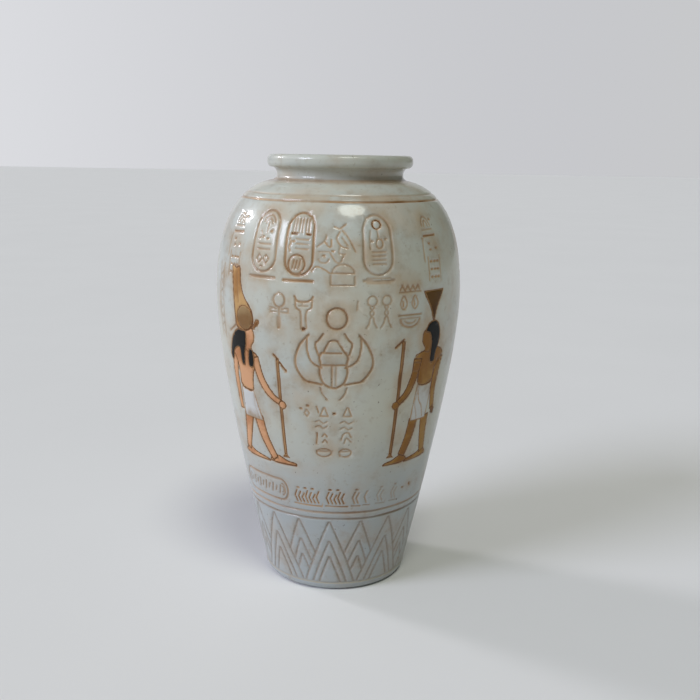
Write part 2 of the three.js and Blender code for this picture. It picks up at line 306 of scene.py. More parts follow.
def limb(centres, widths):
    """The outline of an arm or a leg: a bent line of centres with a width at each."""
    line = np.array(smooth(*centres))
    shares = np.linspace(0, 1, len(line))
    half = 0.5 * np.interp(shares, np.linspace(0, 1, len(widths)), widths)
    along = np.gradient(line, axis=0)
    side = np.stack([-along[:, 1], along[:, 0]], axis=1) / np.linalg.norm(along, axis=1)[:, None]
    outline = np.vstack([line + side * half[:, None], (line - side * half[:, None])[::-1]])
    return [tuple(point) for point in outline]


def inside(outline, places):
    """Which of the places lie inside an outline."""
    corners = np.array(outline, float)
    x, y = places[:, 0], places[:, 1]
    within = np.zeros(len(places), bool)
    for (x0, y0), (x1, y1) in zip(corners, np.roll(corners, -1, axis=0)):
        if y0 != y1:
            crosses = (y0 > y) != (y1 > y)
            within ^= crosses & (x < (x1 - x0) * (y - y0) / (y1 - y0) + x0)
    return within


class Drawing:
    """All that is cut into the wall and painted on it."""

    def __init__(self):
        self.samples = []
        self.paints = []

    def cut(self, points, width, depth, stain):
        """A groove along a line of places, kept as close samples of place, half width, depth and stain."""
        line = np.array(points, float)
        lengths = np.concatenate([[0], np.cumsum(np.hypot(*np.diff(line, axis=0).T))])
        spots = np.linspace(0, lengths[-1], max(2, math.ceil(lengths[-1] / SAMPLE_STEP)))
        places = np.stack([np.interp(spots, lengths, line[:, part]) for part in (0, 1)], axis=1)
        sizes = np.tile([0.5 * width, depth, stain], (len(places), 1))
        self.samples.append(np.hstack([places, sizes]))

    def mark(self, *points, stain):
        """A thin, shallow stroke."""
        self.cut(points, MARK_WIDTH, MARK_DEPTH, stain)

    def dot(self, across, up, stain):
        reach = 0.5 * DOT_LENGTH
        self.cut([(across - reach, up), (across + reach, up)], DOT_WIDTH, 1.0, stain)

    def cover(self, outline):
        """Takes away what is cut under an outline."""
        self.samples = [kept[~inside(outline, kept)] for kept in self.samples]

    def shape(self, outline, paint, width=1.7, depth=0.9, stain=1.5):
        """A painted shape in front of what is there already, with a groove round it."""
        self.cover(outline)
        self.paints.append((outline, paint))
        self.cut(list(outline) + [outline[0]], width, depth, stain)


def chevron_band(drawing):
    """Every other chevron runs down to the foot; those between end where they go behind their neighbours."""
    spacing = GRID_COLUMNS / CHEVRON_COUNT
    for index in range(CHEVRON_COUNT):
        across = CHEVRON_FIRST + spacing * index
        for top in (CHEVRON_TOP, *CHEVRON_NESTED_TOPS):
            front = index % 2 == 0
            bottom = CHEVRON_BASE if front else 0.5 * (CHEVRON_TOP + top - CHEVRON_SLOPE * spacing)
            if bottom < top - 4:
                reach = (top - bottom) / CHEVRON_SLOPE
                for side in (-1, 1):
                    drawing.cut([(across + side * 0.8, top), (across + side * reach, bottom)], 2.1, 1.0, 0.66)
    drawing.cut([(0, CHEVRON_BASE), (GRID_COLUMNS, CHEVRON_BASE)], 1.8, 0.7, 0.3)


def bars(drawing, left, right, heights, stain):
    """Level strokes, one above the other."""
    for up in heights:
        drawing.mark((left, up), (right, up), stain=stain)


def cartouche(drawing, left, right, bottom, top, stain):
    """An upright oval frame on a bar."""
    drawing.cut(round_ended(left, right, bottom, top), 2.4, 1.3, stain)
    drawing.cut([(left, bottom - 4.5), (right + 0.5, bottom - 4.5)], 3.2, 1.2, stain)


def first_cartouche(drawing):
    cartouche(drawing, -87, -60, 320, 373, 0.85)
    for reach in (4.2, 7.5):
        drawing.mark(*arc((-73, 360), (reach, reach + 1.5), 20, 160), stain=0.75)
    drawing.mark((-73, 362), (-73.5, 354), stain=0.7)
    drawing.mark(*smooth((-81, 356), (-79, 352), (-81, 348)), stain=0.7)
    for across, up in ((-77, 350), (-68, 355), (-71, 348.5)):
        drawing.dot(across, up, 1.0)
    bars(drawing, -81, -67, (344, 339.5), 0.8)
    for left in (-81, -73):
        drawing.mark((left, 331), (left + 3, 335), (left + 6, 331), (left + 3, 327), (left, 331), stain=0.8)
    drawing.dot(-75, 324.5, 0.8)


def second_cartouche(drawing):
    cartouche(drawing, -50, -23.5, 319, 372, 1.1)
    for across in (-43, -36.5, -30):
        drawing.mark((across - 1.4, 367), (across - 1.4, 355.5), stain=0.7)
        drawing.mark((across + 1.4, 367), (across + 1.4, 355.5), stain=0.7)
    drawing.cut([(-45.5, 354.5), (-40.5, 354.5)], 2.6, 1.1, 1.4)
    drawing.cut([(-31.5, 354.5), (-27, 354)], 2.6, 1.1, 1.4)
    drawing.mark(*smooth((-47, 350), (-45.5, 346.5), (-47, 343), (-45.5, 339.5)), stain=1.0)
    drawing.dot(-43, 348, 0.9)
    for up in (350, 346, 342):
        drawing.mark((-40, up), (-28, up - 0.5), stain=0.7)
    drawing.cut(oval((-38.5, 328.5), (7.8, 8.2)), 2, 1, 1.1)
    for across in (-41.5, -38.5, -35.5):
        drawing.mark((across - 0.8, 324.5), (across + 0.8, 332), stain=0.9)


def third_cartouche(drawing):
    cartouche(drawing, 22.5, 50, 320, 371, 0.6)
    drawing.cut(oval((36.5, 363), (4.4, 3.6)), 2, 1, 1.3)
    drawing.mark((36.7, 358.5), (37, 352.5), stain=0.7)
    drawing.mark(*oval((38, 347), (3.2, 4)), stain=0.75)
    drawing.dot(31, 349, 0.7)
    drawing.dot(44.5, 351, 0.6)
    drawing.mark(*smooth((30, 358), (28.5, 350), (29, 342)), stain=0.45)
    bars(drawing, 31, 43, (340, 336.5, 333, 329.5), 0.65)
    bars(drawing, 25, 47, (317.5, 313.5), 0.6)


def middle_signs(drawing):
    """The signs between the cartouches: a seated shape, small marks, a loaf and a slab."""
    drawing.cut([(-4.5, 361), (0.5, 359), (6, 363)], 2, 0.9, 0.8)
    drawing.mark(*smooth((1, 357), (-2, 351), (2, 345), (8, 343)), stain=0.8)
    drawing.mark(*smooth((3, 358), (8, 353), (12, 346), (15, 340)), stain=0.8)
    drawing.mark((3, 352), (8, 345.5), stain=0.7)
    drawing.mark(*smooth((1, 345), (0, 339), (5, 338)), stain=0.6)
    drawing.mark(*smooth((-11, 354), (-13, 349), (-20, 344)), stain=0.7)
    drawing.mark(*smooth((-13, 348), (-9, 344), (-7, 345), (-7, 350)), stain=0.9)
    drawing.mark((-18, 340), (-9, 340), stain=0.6)
    drawing.dot(-13.5, 336.5, 1.0)
    drawing.dot(-5.5, 340.5, 1.0)
    drawing.mark(*smooth((-8, 339), (-3, 332), (1, 331), (4, 336)), stain=0.7)
    drawing.mark(*arc((-13.5, 333.5), (4.5, 3.2), 180, 360), stain=0.7)
    drawing.mark(*smooth((-24, 323), (-20, 327), (-13, 325), (-8, 322)), stain=0.9)
    drawing.cut(arc((4, 322), (10, 7.5), 0, 180), 1.9, 0.9, 0.7)
    drawing.cut([(-7, 322), (14, 322)], 1.9, 0.9, 0.8)
    drawing.cut([(-7, 320), (-7, 311.5), (14, 311.5), (14, 319)], 1.9, 0.9, 0.65)


def side_columns(drawing, middle, stain):
    """A column of generic marks, as stands above each figure."""
    for reach in (3, 6.5):
        drawing.mark(*arc((middle - 1, 359), (reach, reach + 3), 10, 170), stain=stain)
    drawing.dot(middle + 8, 366, 1.2 * stain)
    drawing.mark((middle - 8, 357), (middle + 7, 357.5), stain=0.8 * stain)
    drawing.cut([(middle - 8, 352), (middle + 9, 352.5)], 2.6, 1.1, 1.5 * stain)
    drawing.mark(*smooth((middle - 10, 350), (middle - 11, 340), (middle - 10.5, 330)), stain=stain)
    for across, up in ((-2, 345.5), (-1, 340), (7.5, 341)):
        drawing.dot(middle + across, up, 1.3 * stain)
    for side in (-6, 11):
        drawing.mark((middle + side, 334), (middle + side, 312.5), stain=0.9 * stain)
    for up in (329.5, 322.5, 315.5):
        for left in (-3, 2, 6.5):
            drawing.cut([(middle + left, up), (middle + left + 1.8, up)], 2.6, 1, 1.4 * stain)


def side_ribbon(drawing, middle, bottom, top, stain):
    """A narrow upright band with small marks in it."""
    for side in (-4.5, 4.5):
        drawing.mark((middle + side, bottom), (middle + side, top), stain=stain)
    for step in range(int((top - bottom) / 8)):
        up = bottom + 4 + 8 * step
        lean = 1.5 if step % 2 else -1.5
        drawing.mark((middle - 2, up - lean), (middle + 2, up + lean), stain=stain)


def looped_cross(drawing, across, up, stain=0.75):
    drawing.cut(oval((across, up + 26.5), (5.6, 6.2)), 2.2, 1, stain)
    for side in (-1, 1):
        inner, outer = across + side * 2.5, across + side * 9
        drawing.mark((inner, up + 18.5), (outer, up + 19.5), (outer, up + 15.5), (inner, up + 16),
                     stain=0.9 * stain)
    drawing.cut([(across, up + 20), (across, up + 13)], 2.2, 1, stain)
    drawing.cut([(across - 0.5, up + 11), (across - 0.5, up + 3)], 4.8, 0.9, 0.9 * stain)
    drawing.dot(across - 0.5, up + 1.5, 1.2 * stain)


def horned_staff(drawing, across, up, stain=1.0):
    horns = smooth((across - 8.5, up + 31), (across - 6, up + 27), (across, up + 26),
                   (across + 6, up + 27.5), (across + 8.5, up + 31))
    drawing.cut(horns, 2.4, 1.1, stain)
    for side in (-1, 1):
        edge = smooth((across + side * 8, up + 28), (across + side * 7, up + 21),
                      (across + side * 2.6, up + 17), (across + side * 2.4, up + 3))
        drawing.cut(edge, 2, 1, 0.9 * stain)
    drawing.mark((across - 4, up + 22.5), (across + 4, up + 22.5), stain=0.6 * stain)
    drawing.mark((across - 1, up + 26), (across - 1, up + 22.5), stain=0.5 * stain)
    drawing.cut([(across - 1, up + 2.5), (across + 0.5, up + 2.5)], 4.4, 1.2, 1.3 * stain)


def twisted_wick(drawing, across, up, stain=0.7):
    drawing.mark(*oval((across, up + 24), (4.2, 4.4)), stain=stain)
    for side in (-1, 1):
        twist = [(across + side * 1.8 * math.cos(0.55 * step), up + 19 - step) for step in range(13)]
        drawing.mark(*twist, (across + side * 2.5, up + 4), (across + side * 5, up), stain=stain)


def basket_group(drawing, left, up, stain=0.85):
    """A basket under a bar, with two seeds and a row of wedges over it."""
    drawing.cut([(left, up + 11.5), (left + 24, up + 11.5)], 2, 1, stain)
    drawing.mark((left + 1, up + 8.5), (left + 23, up + 8.5), stain=0.7 * stain)
    drawing.cut(arc((left + 12, up + 8), (10.5, 7.5), 180, 360), 2.4, 1, stain)
    drawing.mark(*arc((left + 12, up + 8), (6.5, 4), 200, 340), stain=0.8 * stain)
    for across in (4.5, 16.5):
        outline = smooth((left + across, up + 29), (left + across + 3.4, up + 22), (left + across, up + 17),
                         (left + across - 3.4, up + 22), closed=True)
        drawing.mark(*outline, stain=stain)
        drawing.mark((left + across - 1, up + 24), (left + across - 0.6, up + 20), stain=1.2 * stain)
    drawing.mark((left, up + 32.5), (left + 23, up + 32.5), stain=stain)
    for across in (3, 8.5, 14, 19.5):
        middle = left + across
        drawing.mark((middle - 2.4, up + 34), (middle, up + 38.5), (middle + 2.4, up + 34), stain=stain)


def scarab(drawing, across, up, stain=1.0):
    """A beetle with raised wings, seen from above. Places are written from its middle."""
    def place(*points, side=1):
        return [(across + side * right, up + above) for right, above in points]

    for side in (-1, 1):
        wing_outside = place((22.5, 27), (31, 17), (36, 4), (34.5, -6), (27, -15.5), (18.5, -17.5), (11, -19),
                             side=side)
        drawing.cut(smooth(*wing_outside), 2.5, 1.3, stain)
        wing_inside = place((24, 26), (24.5, 15), (22, 5), (17.5, 0), (11, -3), side=side)
        drawing.cut(smooth(*wing_inside), 2.2, 1.2, stain)
        front_leg = place((9.5, 28.5), (13, 23), (16.5, 18.5), (14, 9), side=side)
        drawing.cut(smooth(*front_leg), 2.2, 1.2, stain)
        back_leg = place((12.5, -22), (10.5, -28), (6, -33.5), side=side)
        drawing.cut(smooth(*back_leg), 1.9, 1, 0.8 * stain)
        body_side = place((11, 11), (13, 6), (12, 0), (13, -8), (10, -17), (4.5, -21), (0, -22), side=side)
        drawing.cut(smooth(*body_side), 2.5, 1.3, stain)
    drawing.cut(place((2.2, 0), (2.2, -20)), 1.5, 0.8, 0.5 * stain)
    head = place((-9, 11), (-6.5, 17), (-3.5, 21.5), (0, 22.5), (3.5, 21.5), (6.5, 17), (10, 11))
    drawing.cut(smooth(*head), 2.2, 1.2, stain)
    drawing.cut(place((-7, 10.8), (7, 10.8)), 2, 1, stain)
    drawing.cut(place((-12, -0.5), (12, -0.5)), 2.1, 1.1, stain)
    drawing.cut(place((-1.6, -1), (-1.6, -21)), 2.4, 1, 0.8 * stain)


def lower_columns(drawing):
    """Two columns of generic marks under the scarab, with a row of marks over them."""
    drawing.dot(-36, 197, 1.1)
    drawing.dot(-29, 200.5, 1.1)
    drawing.mark((-32.5, 193), (-30, 196.5), (-27.5, 193), (-30, 189.5), (-32.5, 193), stain=0.8)
    drawing.mark((-20, 200), (-18, 194), stain=1.0)
    for across in (-12.5, 10.5):
        drawing.mark((across - 4, 191), (across - 0.5, 199.5), (across + 0.5, 199.5), (across + 4, 191),
                     (across - 4, 191), stain=0.85)
    drawing.dot(-2.5, 193.5, 1.3)
    for across, ups in ((-15.5, (185, 180)), (10, (184.5, 178.5))):
        for up in ups:
            ripple = smooth((across - 6, up), (across - 2, up + 1.4), (across + 2, up - 1),
                            (across + 6, up + 1))
            drawing.mark(*ripple, stain=0.7)
    drawing.mark((-20, 174), (-21, 163.5), stain=1.1)
    for up in (173.5, 167.5):
        drawing.mark((-14.5, up - 3), (-12, up), (-9.5, up - 3), stain=0.95)
    drawing.mark(*smooth((4.5, 166), (7, 173), (12, 174.5), (15, 170)), stain=0.8)
    drawing.mark(*smooth((8, 164), (10.5, 169), (15.5, 165)), stain=0.7)
    for across, width in ((-13.5, 8), (9.5, 6.5)):
        drawing.mark(*oval((across, 154), (width, 4)), stain=0.85)
        drawing.mark((across - width, 155.5), (across + width, 155.5), stain=0.7)


def stroke_cluster(drawing, left, right, stain):
    """Close nested angles over a line, with dots above them."""
    foot = 99.5
    for step in range(int((right - left) / CLUSTER_SPACING)):
        across = left + CLUSTER_SPACING * (step + 0.5)
        top = 112 - 1.5 * (step % 3)
        elbow = (across - 1.6, 0.5 * (top + foot))
        drawing.mark((across + 1.5, top), elbow, (across + 1.2, foot), stain=stain)
        if step % 2:
            drawing.dot(across - 1.5, 114.5, stain)
    drawing.mark((left, 97), (right, 96.5), stain=0.9 * stain)


def bottom_row(drawing):
    """A lying oval, then clusters of leaning strokes that get fainter to the right."""
    drawing.cut(round_ended(-140, -61, 97, 119.5), 2.4, 1.1, 0.8)
    for step in range(11):
        across = -133 + 6 * step
        reach = 2.5 if step % 2 else 4.5
        drawing.mark((across - 1, 108.5 - reach), (across + 1.5, 108.5 + reach), stain=0.75)
    for reach in (2, 5):
        drawing.mark(*arc((-69, 108.5), (0.6 * reach + 1, reach + 1), -90, 90), stain=0.8)
    clusters = ((-52, -17, 1.2), (-12, 15, 1.2), (20, 31, 0.9), (35, 43, 0.7), (52, 64, 0.4), (72, 84, 0.4))
    for left, right, stain in clusters:
        stroke_cluster(drawing, left, right, stain)
    drawing.dot(91, 108, 1.0)
    drawing.cut([(103, 110), (104, 108)], 3, 1, 1.1)


def staff(drawing, place, ahead, top, head, paint):
    """A long staff with a slanted head, held upright in front of a figure."""
    left, right = ahead - STAFF_HALF_WIDTH, ahead + STAFF_HALF_WIDTH
    drawing.shape(place((left, 9), (left, top), (right, top), (right, 9)), paint, 1.7, 0.8)
    drawing.shape(place((left - 2, 8), (ahead, 12), (right + 3, 8)), paint, 1.2, 0.6)
    drawing.cut(smooth(*place(*head)), 3, 1.1, 1.2)


def leg(drawing, place, centres, widths, foot, paint):
    drawing.shape(place(*foot), paint)
    drawing.shape(place(*limb(centres, widths)), paint)
    drawing.paints.append((place(*foot), paint))


def crowned_figure(drawing, feet, ground):
    """The figure on the left, who wears a tall crown and faces the scarab."""
    def place(*points):
        return [(feet + ahead, ground + above) for ahead, above in points]

    drawing.shape(place(*limb([(-17, 101), (-20, 84), (-20, 66), (-19, 47)], [9, 8, 7, 6])), FLESH)
    leg(drawing, place, [(-7, 44), (-13, 26), (-21, 6)], [14, 11, 8],
        smooth((-25, 1), (-24, 6), (-17, 9), (-6, 5), (14, 2), (14, 0), closed=True), FLESH)
    leg(drawing, place, [(9, 44), (13, 28), (20, 14), (26, 4)], [13, 11, 9, 8],
        smooth((21, 1), (22, 6), (31, 8), (42, 4), (52, 2.4), (53.5, 1), (50, 0), closed=True), FLESH)
    drawing.shape(place((-12, 72), (6, 70), (8.5, 62), (15.5, 41), (-14, 41)), KILT, 1.5, 0.7, 1.0)
    drawing.cut(place((6, 70), (6, 55), (11, 41)), 1.3, 0.6, 0.4)
    chest = smooth((-19, 104), (-15, 108), (-5, 110), (8, 109), (17, 105), (16, 98), (11, 90), (8, 80),
                   (6, 70), (-4, 69), (-12, 72), (-12, 84), (-14, 95), closed=True)
    drawing.shape(place(*chest), FLESH)
    drawing.cut(place(*smooth((-12, 73), (-5, 70), (6, 69.5))), 2.2, 0.9, 1)
    staff(drawing, place, 41, 106, [(37.5, 109), (42.5, 103), (49.5, 94.5)], BROWN)
    drawing.shape(place(*limb([(14, 103), (18, 88), (24, 76), (33, 67), (43, 62)], [9, 8, 8, 6, 5])), FLESH)
    drawing.shape(place(*oval((43, 61), (4, 3.6))), FLESH, 1.3, 0.7)
    head = smooth((3, 109), (3, 126), (9, 131), (14, 129), (15.5, 124), (14.5, 118), (11, 113), (10, 108),
                  closed=True)
    drawing.shape(place(*head), FLESH, 1.4, 0.7)
    wig = smooth((4, 128), (-5, 127.5), (-14, 123), (-21, 113), (-26, 99), (-22, 95), (-18, 104),
                 (-12, 108.5), (-7, 108), (-6, 96), (-4, 93.5), (-1, 94), (1, 106), (4, 115), closed=True)
    drawing.shape(place(*wig), WIG, 1.3, 0.7)
    lock = smooth((5, 94), (11.5, 94), (12.5, 108), (7, 109), closed=True)
    drawing.shape(place(*lock), WIG, 1.3, 0.7)
    drawing.cut(place(*smooth((-22, 123), (-15, 127), (-9, 131))), 2.2, 1, 1)
    crown = smooth((-16, 184), (-13, 165), (-11, 150), (-10, 138), (-8, 129), (4, 127), (13, 131),
                   (15.5, 137), (14, 146), (10, 151), (3, 160), (-1, 170), (-4, 184), (-10, 183), closed=True)
    drawing.shape(place(*crown), CROWN)
    drawing.shape(place(*oval((4, 139), (11, 11))), CROWN_DARK, 1.4, 0.7)
    drawing.cut(place(*smooth((-9, 182), (-6, 168), (-4, 152))), 1.6, 0.7, 0.9)
    curl = smooth((14, 130), (18, 131), (23, 137), (20, 138.5), (17, 135), closed=True)
    drawing.shape(place(*curl), BROWN, 1.2, 0.7)


def wedge_crowned_figure(drawing, feet, ground):
    """The figure on the right, whose crown is a dark wedge, facing the scarab from the other side."""
    def place(*points):
        return [(feet - ahead, ground + above) for ahead, above in points]

    flesh = FLESH_IN_SHADE
    drawing.shape(place(*limb([(-19, 102), (-16, 86), (-15, 70), (-20, 50)], [10, 9, 8, 7])), flesh)
    drawing.paints.append((place(*oval((-20.5, 49), (3.6, 4.5))), BROWN))
    leg(drawing, place, [(-8, 44), (-11, 26), (-17, 6)], [13, 11, 9],
        smooth((-24, 1), (-23, 6), (-16, 8), (-4, 5), (11, 2.5), (11, 0), closed=True), flesh)
    leg(drawing, place, [(10, 44), (13, 26), (20, 8)], [12, 11, 9],
        smooth((13, 1), (14, 6), (22, 8), (32, 4), (41, 2), (41, 0), closed=True), flesh)
    drawing.shape(place((-10, 79), (12, 79), (14, 60), (15, 42), (-9, 42)), KILT, 1.5, 0.7, 1.0)
    drawing.cut(place(*smooth((10, 73), (7, 63), (1, 55), (-3, 44))), 1.4, 0.6, 0.9)
    drawing.cut(place(*smooth((10, 73), (12, 60), (8, 50), (6, 43))), 1.3, 0.5, 0.6)
    chest = smooth((-22, 105), (-14, 111), (-2, 112), (12, 110), (20, 106), (19, 97), (13, 90), (12, 80),
                   (3, 77), (-9, 79), (-10, 91), (-16, 98), closed=True)
    drawing.shape(place(*chest), flesh)
    drawing.cut(place(*smooth((12, 80), (3, 76.5), (-9, 80))), 2, 0.9, 1)
    staff(drawing, place, 35.5, 122, [(35.5, 124), (43.5, 117.5)], BROWN)
    drawing.shape(place(*limb([(16, 104), (18, 88), (25, 72), (37, 61)], [10, 8, 7, 5])), flesh)
    drawing.shape(place(*oval((37, 61), (4, 3.6))), flesh, 1.3, 0.7)
    for ahead, above in ((15, 100), (17, 92), (-18, 99)):
        drawing.cut(place((ahead - 4, above - 1), (ahead + 4, above + 1)), 2.4, 0.9, 1)
    head = smooth((1, 110), (1, 126), (5, 132), (11, 130), (13, 125), (12.5, 119), (9, 114), (8, 110),
                  closed=True)
    drawing.shape(place(*head), flesh, 1.4, 0.7)
    wig = smooth((10, 129), (6, 136), (-1, 138.5), (-8, 135.5), (-12, 127), (-12.5, 118), (-9.5, 108),
                 (-8, 99), (-1, 99), (0, 110), (1, 120), (4, 127), closed=True)
    drawing.shape(place(*wig), WIG, 1.3, 0.7)
    crown_front = smooth((14, 166.5), (12.5, 163), (5, 150), (1.2, 140))
    crown_back = smooth((-1.4, 140), (-4, 150), (-11.5, 163), (-13.5, 166.5))
    drawing.shape(place(*crown_front, *crown_back), DARK_GOLD, 1.5, 0.9)


def front_drawing(drawing):
    first_cartouche(drawing)
    second_cartouche(drawing)
    third_cartouche(drawing)
    middle_signs(drawing)
    side_columns(drawing, 97, 0.75)
    side_columns(drawing, -116, 0.75)
    side_ribbon(drawing, -137, 252, 322, 0.6)
    looped_cross(drawing, -54, 270)
    horned_staff(drawing, -30.5, 270)
    drawing.cut(oval((-1, 282.5), (9, 9.3)), 2.4, 1.3, 1.0)
    drawing.mark((17, 298), (16.5, 290), stain=0.6)
    twisted_wick(drawing, 30, 274, 0.65)
    twisted_wick(drawing, 43.5, 274, 0.65)
    basket_group(drawing, 56, 272)
    scarab(drawing, -3.5, 240.5)
    lower_columns(drawing)
    bottom_row(drawing)
    crowned_figure(drawing, -99, 137)
    wedge_crowned_figure(drawing, 98, 137)


def lotus(drawing, across, up, stain=0.7):
    """An open flower on a long stem."""
    drawing.cut([(across, up), (across, up + 56)], 2, 1, stain)
    for lean in (-1, 0, 1):
        tip = (across + 17 * lean, up + 92 - 5 * abs(lean))
        for side in (-1, 1):
            bend = (across + 11 * lean + side * 5.5, up + 74)
            drawing.cut(smooth((across, up + 56), bend, tip), 2, 1, stain)
    drawing.mark(*arc((across, up + 57), (7, 5), 180, 360), stain=stain)


def side_drawing(drawing, middle):
    """A quarter turn from the front: one cartouche, a twisted wick and a flower."""
    cartouche(drawing, middle - 14, middle + 14, 320, 372, 0.7)
    bars(drawing, middle - 7, middle + 7, (360, 349, 338, 330), 0.6)
    for side in (-1, 1):
        twisted_wick(drawing, middle + side * 9, 272, 0.6)
    lotus(drawing, middle, 150)
    stroke_cluster(drawing, middle - 24, middle + 22, 0.45)


def back_drawing(drawing):
    """The back, which carries the same rows more plainly."""
    back = 0.5 * GRID_COLUMNS
    for across in (-62, 0, 62):
        cartouche(drawing, back + across - 14, back + across + 14, 320, 372, 0.7)
        bars(drawing, back + across - 7, back + across + 7, (360, 349, 338, 330), 0.6)
    for side in (-1, 1):
        looped_cross(drawing, back + side * 40, 270)
        side_columns(drawing, back + side * 118, 0.7)
    drawing.cut(oval((back, 282.5), (9, 9.3)), 2.4, 1.3, 1.0)
    scarab(drawing, back, 240.5, 0.9)
    for side in (-1, 1):
        bars(drawing, back + side * 14 - 6, back + side * 14 + 6, (195, 186, 177, 168, 159), 0.6)
    drawing.cut(round_ended(back - 60, back + 60, 97, 119.5), 2.4, 1.1, 0.6)
    for step in range(9):
        across = back - 44 + 11 * step
        drawing.mark((across - 3, 103), (across, 113), (across + 3, 103), stain=0.5)


# Cutting the drawing into the wall

def on_wall(places):
    """The points of the smooth wall, in millimetres, at places of the drawing."""
    angle = 2 * math.pi * places[:, 0] / GRID_COLUMNS
    height = places[:, 1] * shoulder_top / GRID_ROWS
    radius = wall_radius(height)
    return np.stack([radius * np.sin(angle), -radius * np.cos(angle), height], axis=1)


def tree_of(points):
    tree = kdtree.KDTree(len(points))
    for index, point in enumerate(points):
        tree.insert(point, index)
    tree.balance()
    return tree


def wandering(points, reach, length, seed):
    """Slow, small shifts for each point, as a hand makes them."""
    offset = Vector((seed, 2 * seed, 3 * seed))
    return np.array([noise.noise_vector(Vector(point) / length + offset) for point in points]) * reach


def is_wall(points):
    """Which points lie on the outer wall."""
    height = points[:, 2]
    near = np.hypot(points[:, 0], points[:, 1]) > wall_radius(height) - 0.5 * WALL
    return near & (height > FOOT_EDGE_HEIGHT - 0.01) & (height < shoulder_top + 0.01)


def turned_jar():
    """The plain vessel, its half profile spun once round the axis."""
    mesh = bmesh.new()
    profile = [mesh.verts.new((radius, 0, height)) for radius, height in jar_profile()]
    edges = [mesh.edges.new(pair) for pair in zip(profile, profile[1:])]
    bmesh.ops.spin(mesh, geom=profile + edges, cent=(0, 0, 0), axis=(0, 0, 1), dvec=(0, 0, 0),
                   angle=2 * math.pi, steps=SEGMENTS,
                   use_merge=True, use_normal_flip=False, use_duplicate=False)
    bmesh.ops.remove_doubles(mesh, verts=mesh.verts, dist=0.01)
    return mesh


def mend_thin_triangles(mesh):
    """Takes out the triangles back to back on one line, and turns the longest edge of other thin ones."""
    def longest_edge(face):
        return max(face.edges, key=lambda edge: edge.calc_length())

    def thin_faces():
        return [face for face in mesh.faces
                if 2 * face.calc_area() < THINNEST * longest_edge(face).calc_length()]

    by_corners = {}
    for face in thin_faces():
        by_corners.setdefault(frozenset(face.verts), []).append(face)
    back_to_back = [face for faces in by_corners.values() if len(faces) > 1 for face in faces]
    bmesh.ops.delete(mesh, geom=back_to_back, context="FACES")
    for mend_round in range(MEND_ROUNDS):
        edges = dict.fromkeys(longest_edge(face) for face in thin_faces())
        bmesh.ops.rotate_edges(mesh, edges=list(edges))
    bmesh.ops.remove_doubles(mesh, verts=mesh.verts, dist=SAME_PLACE)


def make_fine_along(mesh, line_tree, half_widths):
    """Divides the edges near the grooves until they are short enough to carry them."""
    def in_groove(place, margin=0.0):
        nearest, index, distance = line_tree.find(place)
        return distance < GROOVE_SPREAD * half_widths[index] + margin

    vertex_in_groove = {}
    for longest in (FINEST_EDGE, LONGEST_SLANT):
        while True:
            for vertex in mesh.verts:
                if vertex not in vertex_in_groove:
                    vertex_in_groove[vertex] = in_groove(vertex.co)
            long_edges = []
            for edge in mesh.edges:
                length = edge.calc_length()
                if length > longest:
                    first, second = edge.verts
                    ends = vertex_in_groove[first] or vertex_in_groove[second]
                    if ends or in_groove(0.5 * (first.co + second.co), CARVED_MARGIN * length):
                        long_edges.append(edge)
            if not long_edges:
                break
            bmesh.ops.subdivide_edges(mesh, edges=long_edges, cuts=1, use_grid_fill=True)
        mesh.normal_update()
        bmesh.ops.triangulate(mesh, faces=mesh.faces)
        mend_thin_triangles(mesh)


def ring_samples():
    """Points along the turned rings, with the half width, depth and stain at each."""
    across = np.arange(0, GRID_COLUMNS, 0.5)
    rings = np.vstack([np.stack([across, np.full_like(across, up)], axis=1) for up, depth, stain in RINGS])
    points = on_wall(rings)
    points[:, 2] += wandering(points, RING_WANDER, RING_WANDER_LENGTH, 2)[:, 2]
    sizes = np.vstack([np.tile([RING_HALF_WIDTH, depth, stain], (len(across), 1))
                       for up, depth, stain in RINGS])
    sizes[:, 2] *= 0.85 + 0.7 * wandering(points, 1, RING_STAIN_LENGTH, 3)[:, 0]
    return points, sizes


def keep(data, name, values, kind="FLOAT", part="value"):
    """Keeps a value on each vertex, where the finish can read it."""
    data.attributes.new(name, kind, "POINT").data.foreach_set(part, values.astype(np.float32).ravel())


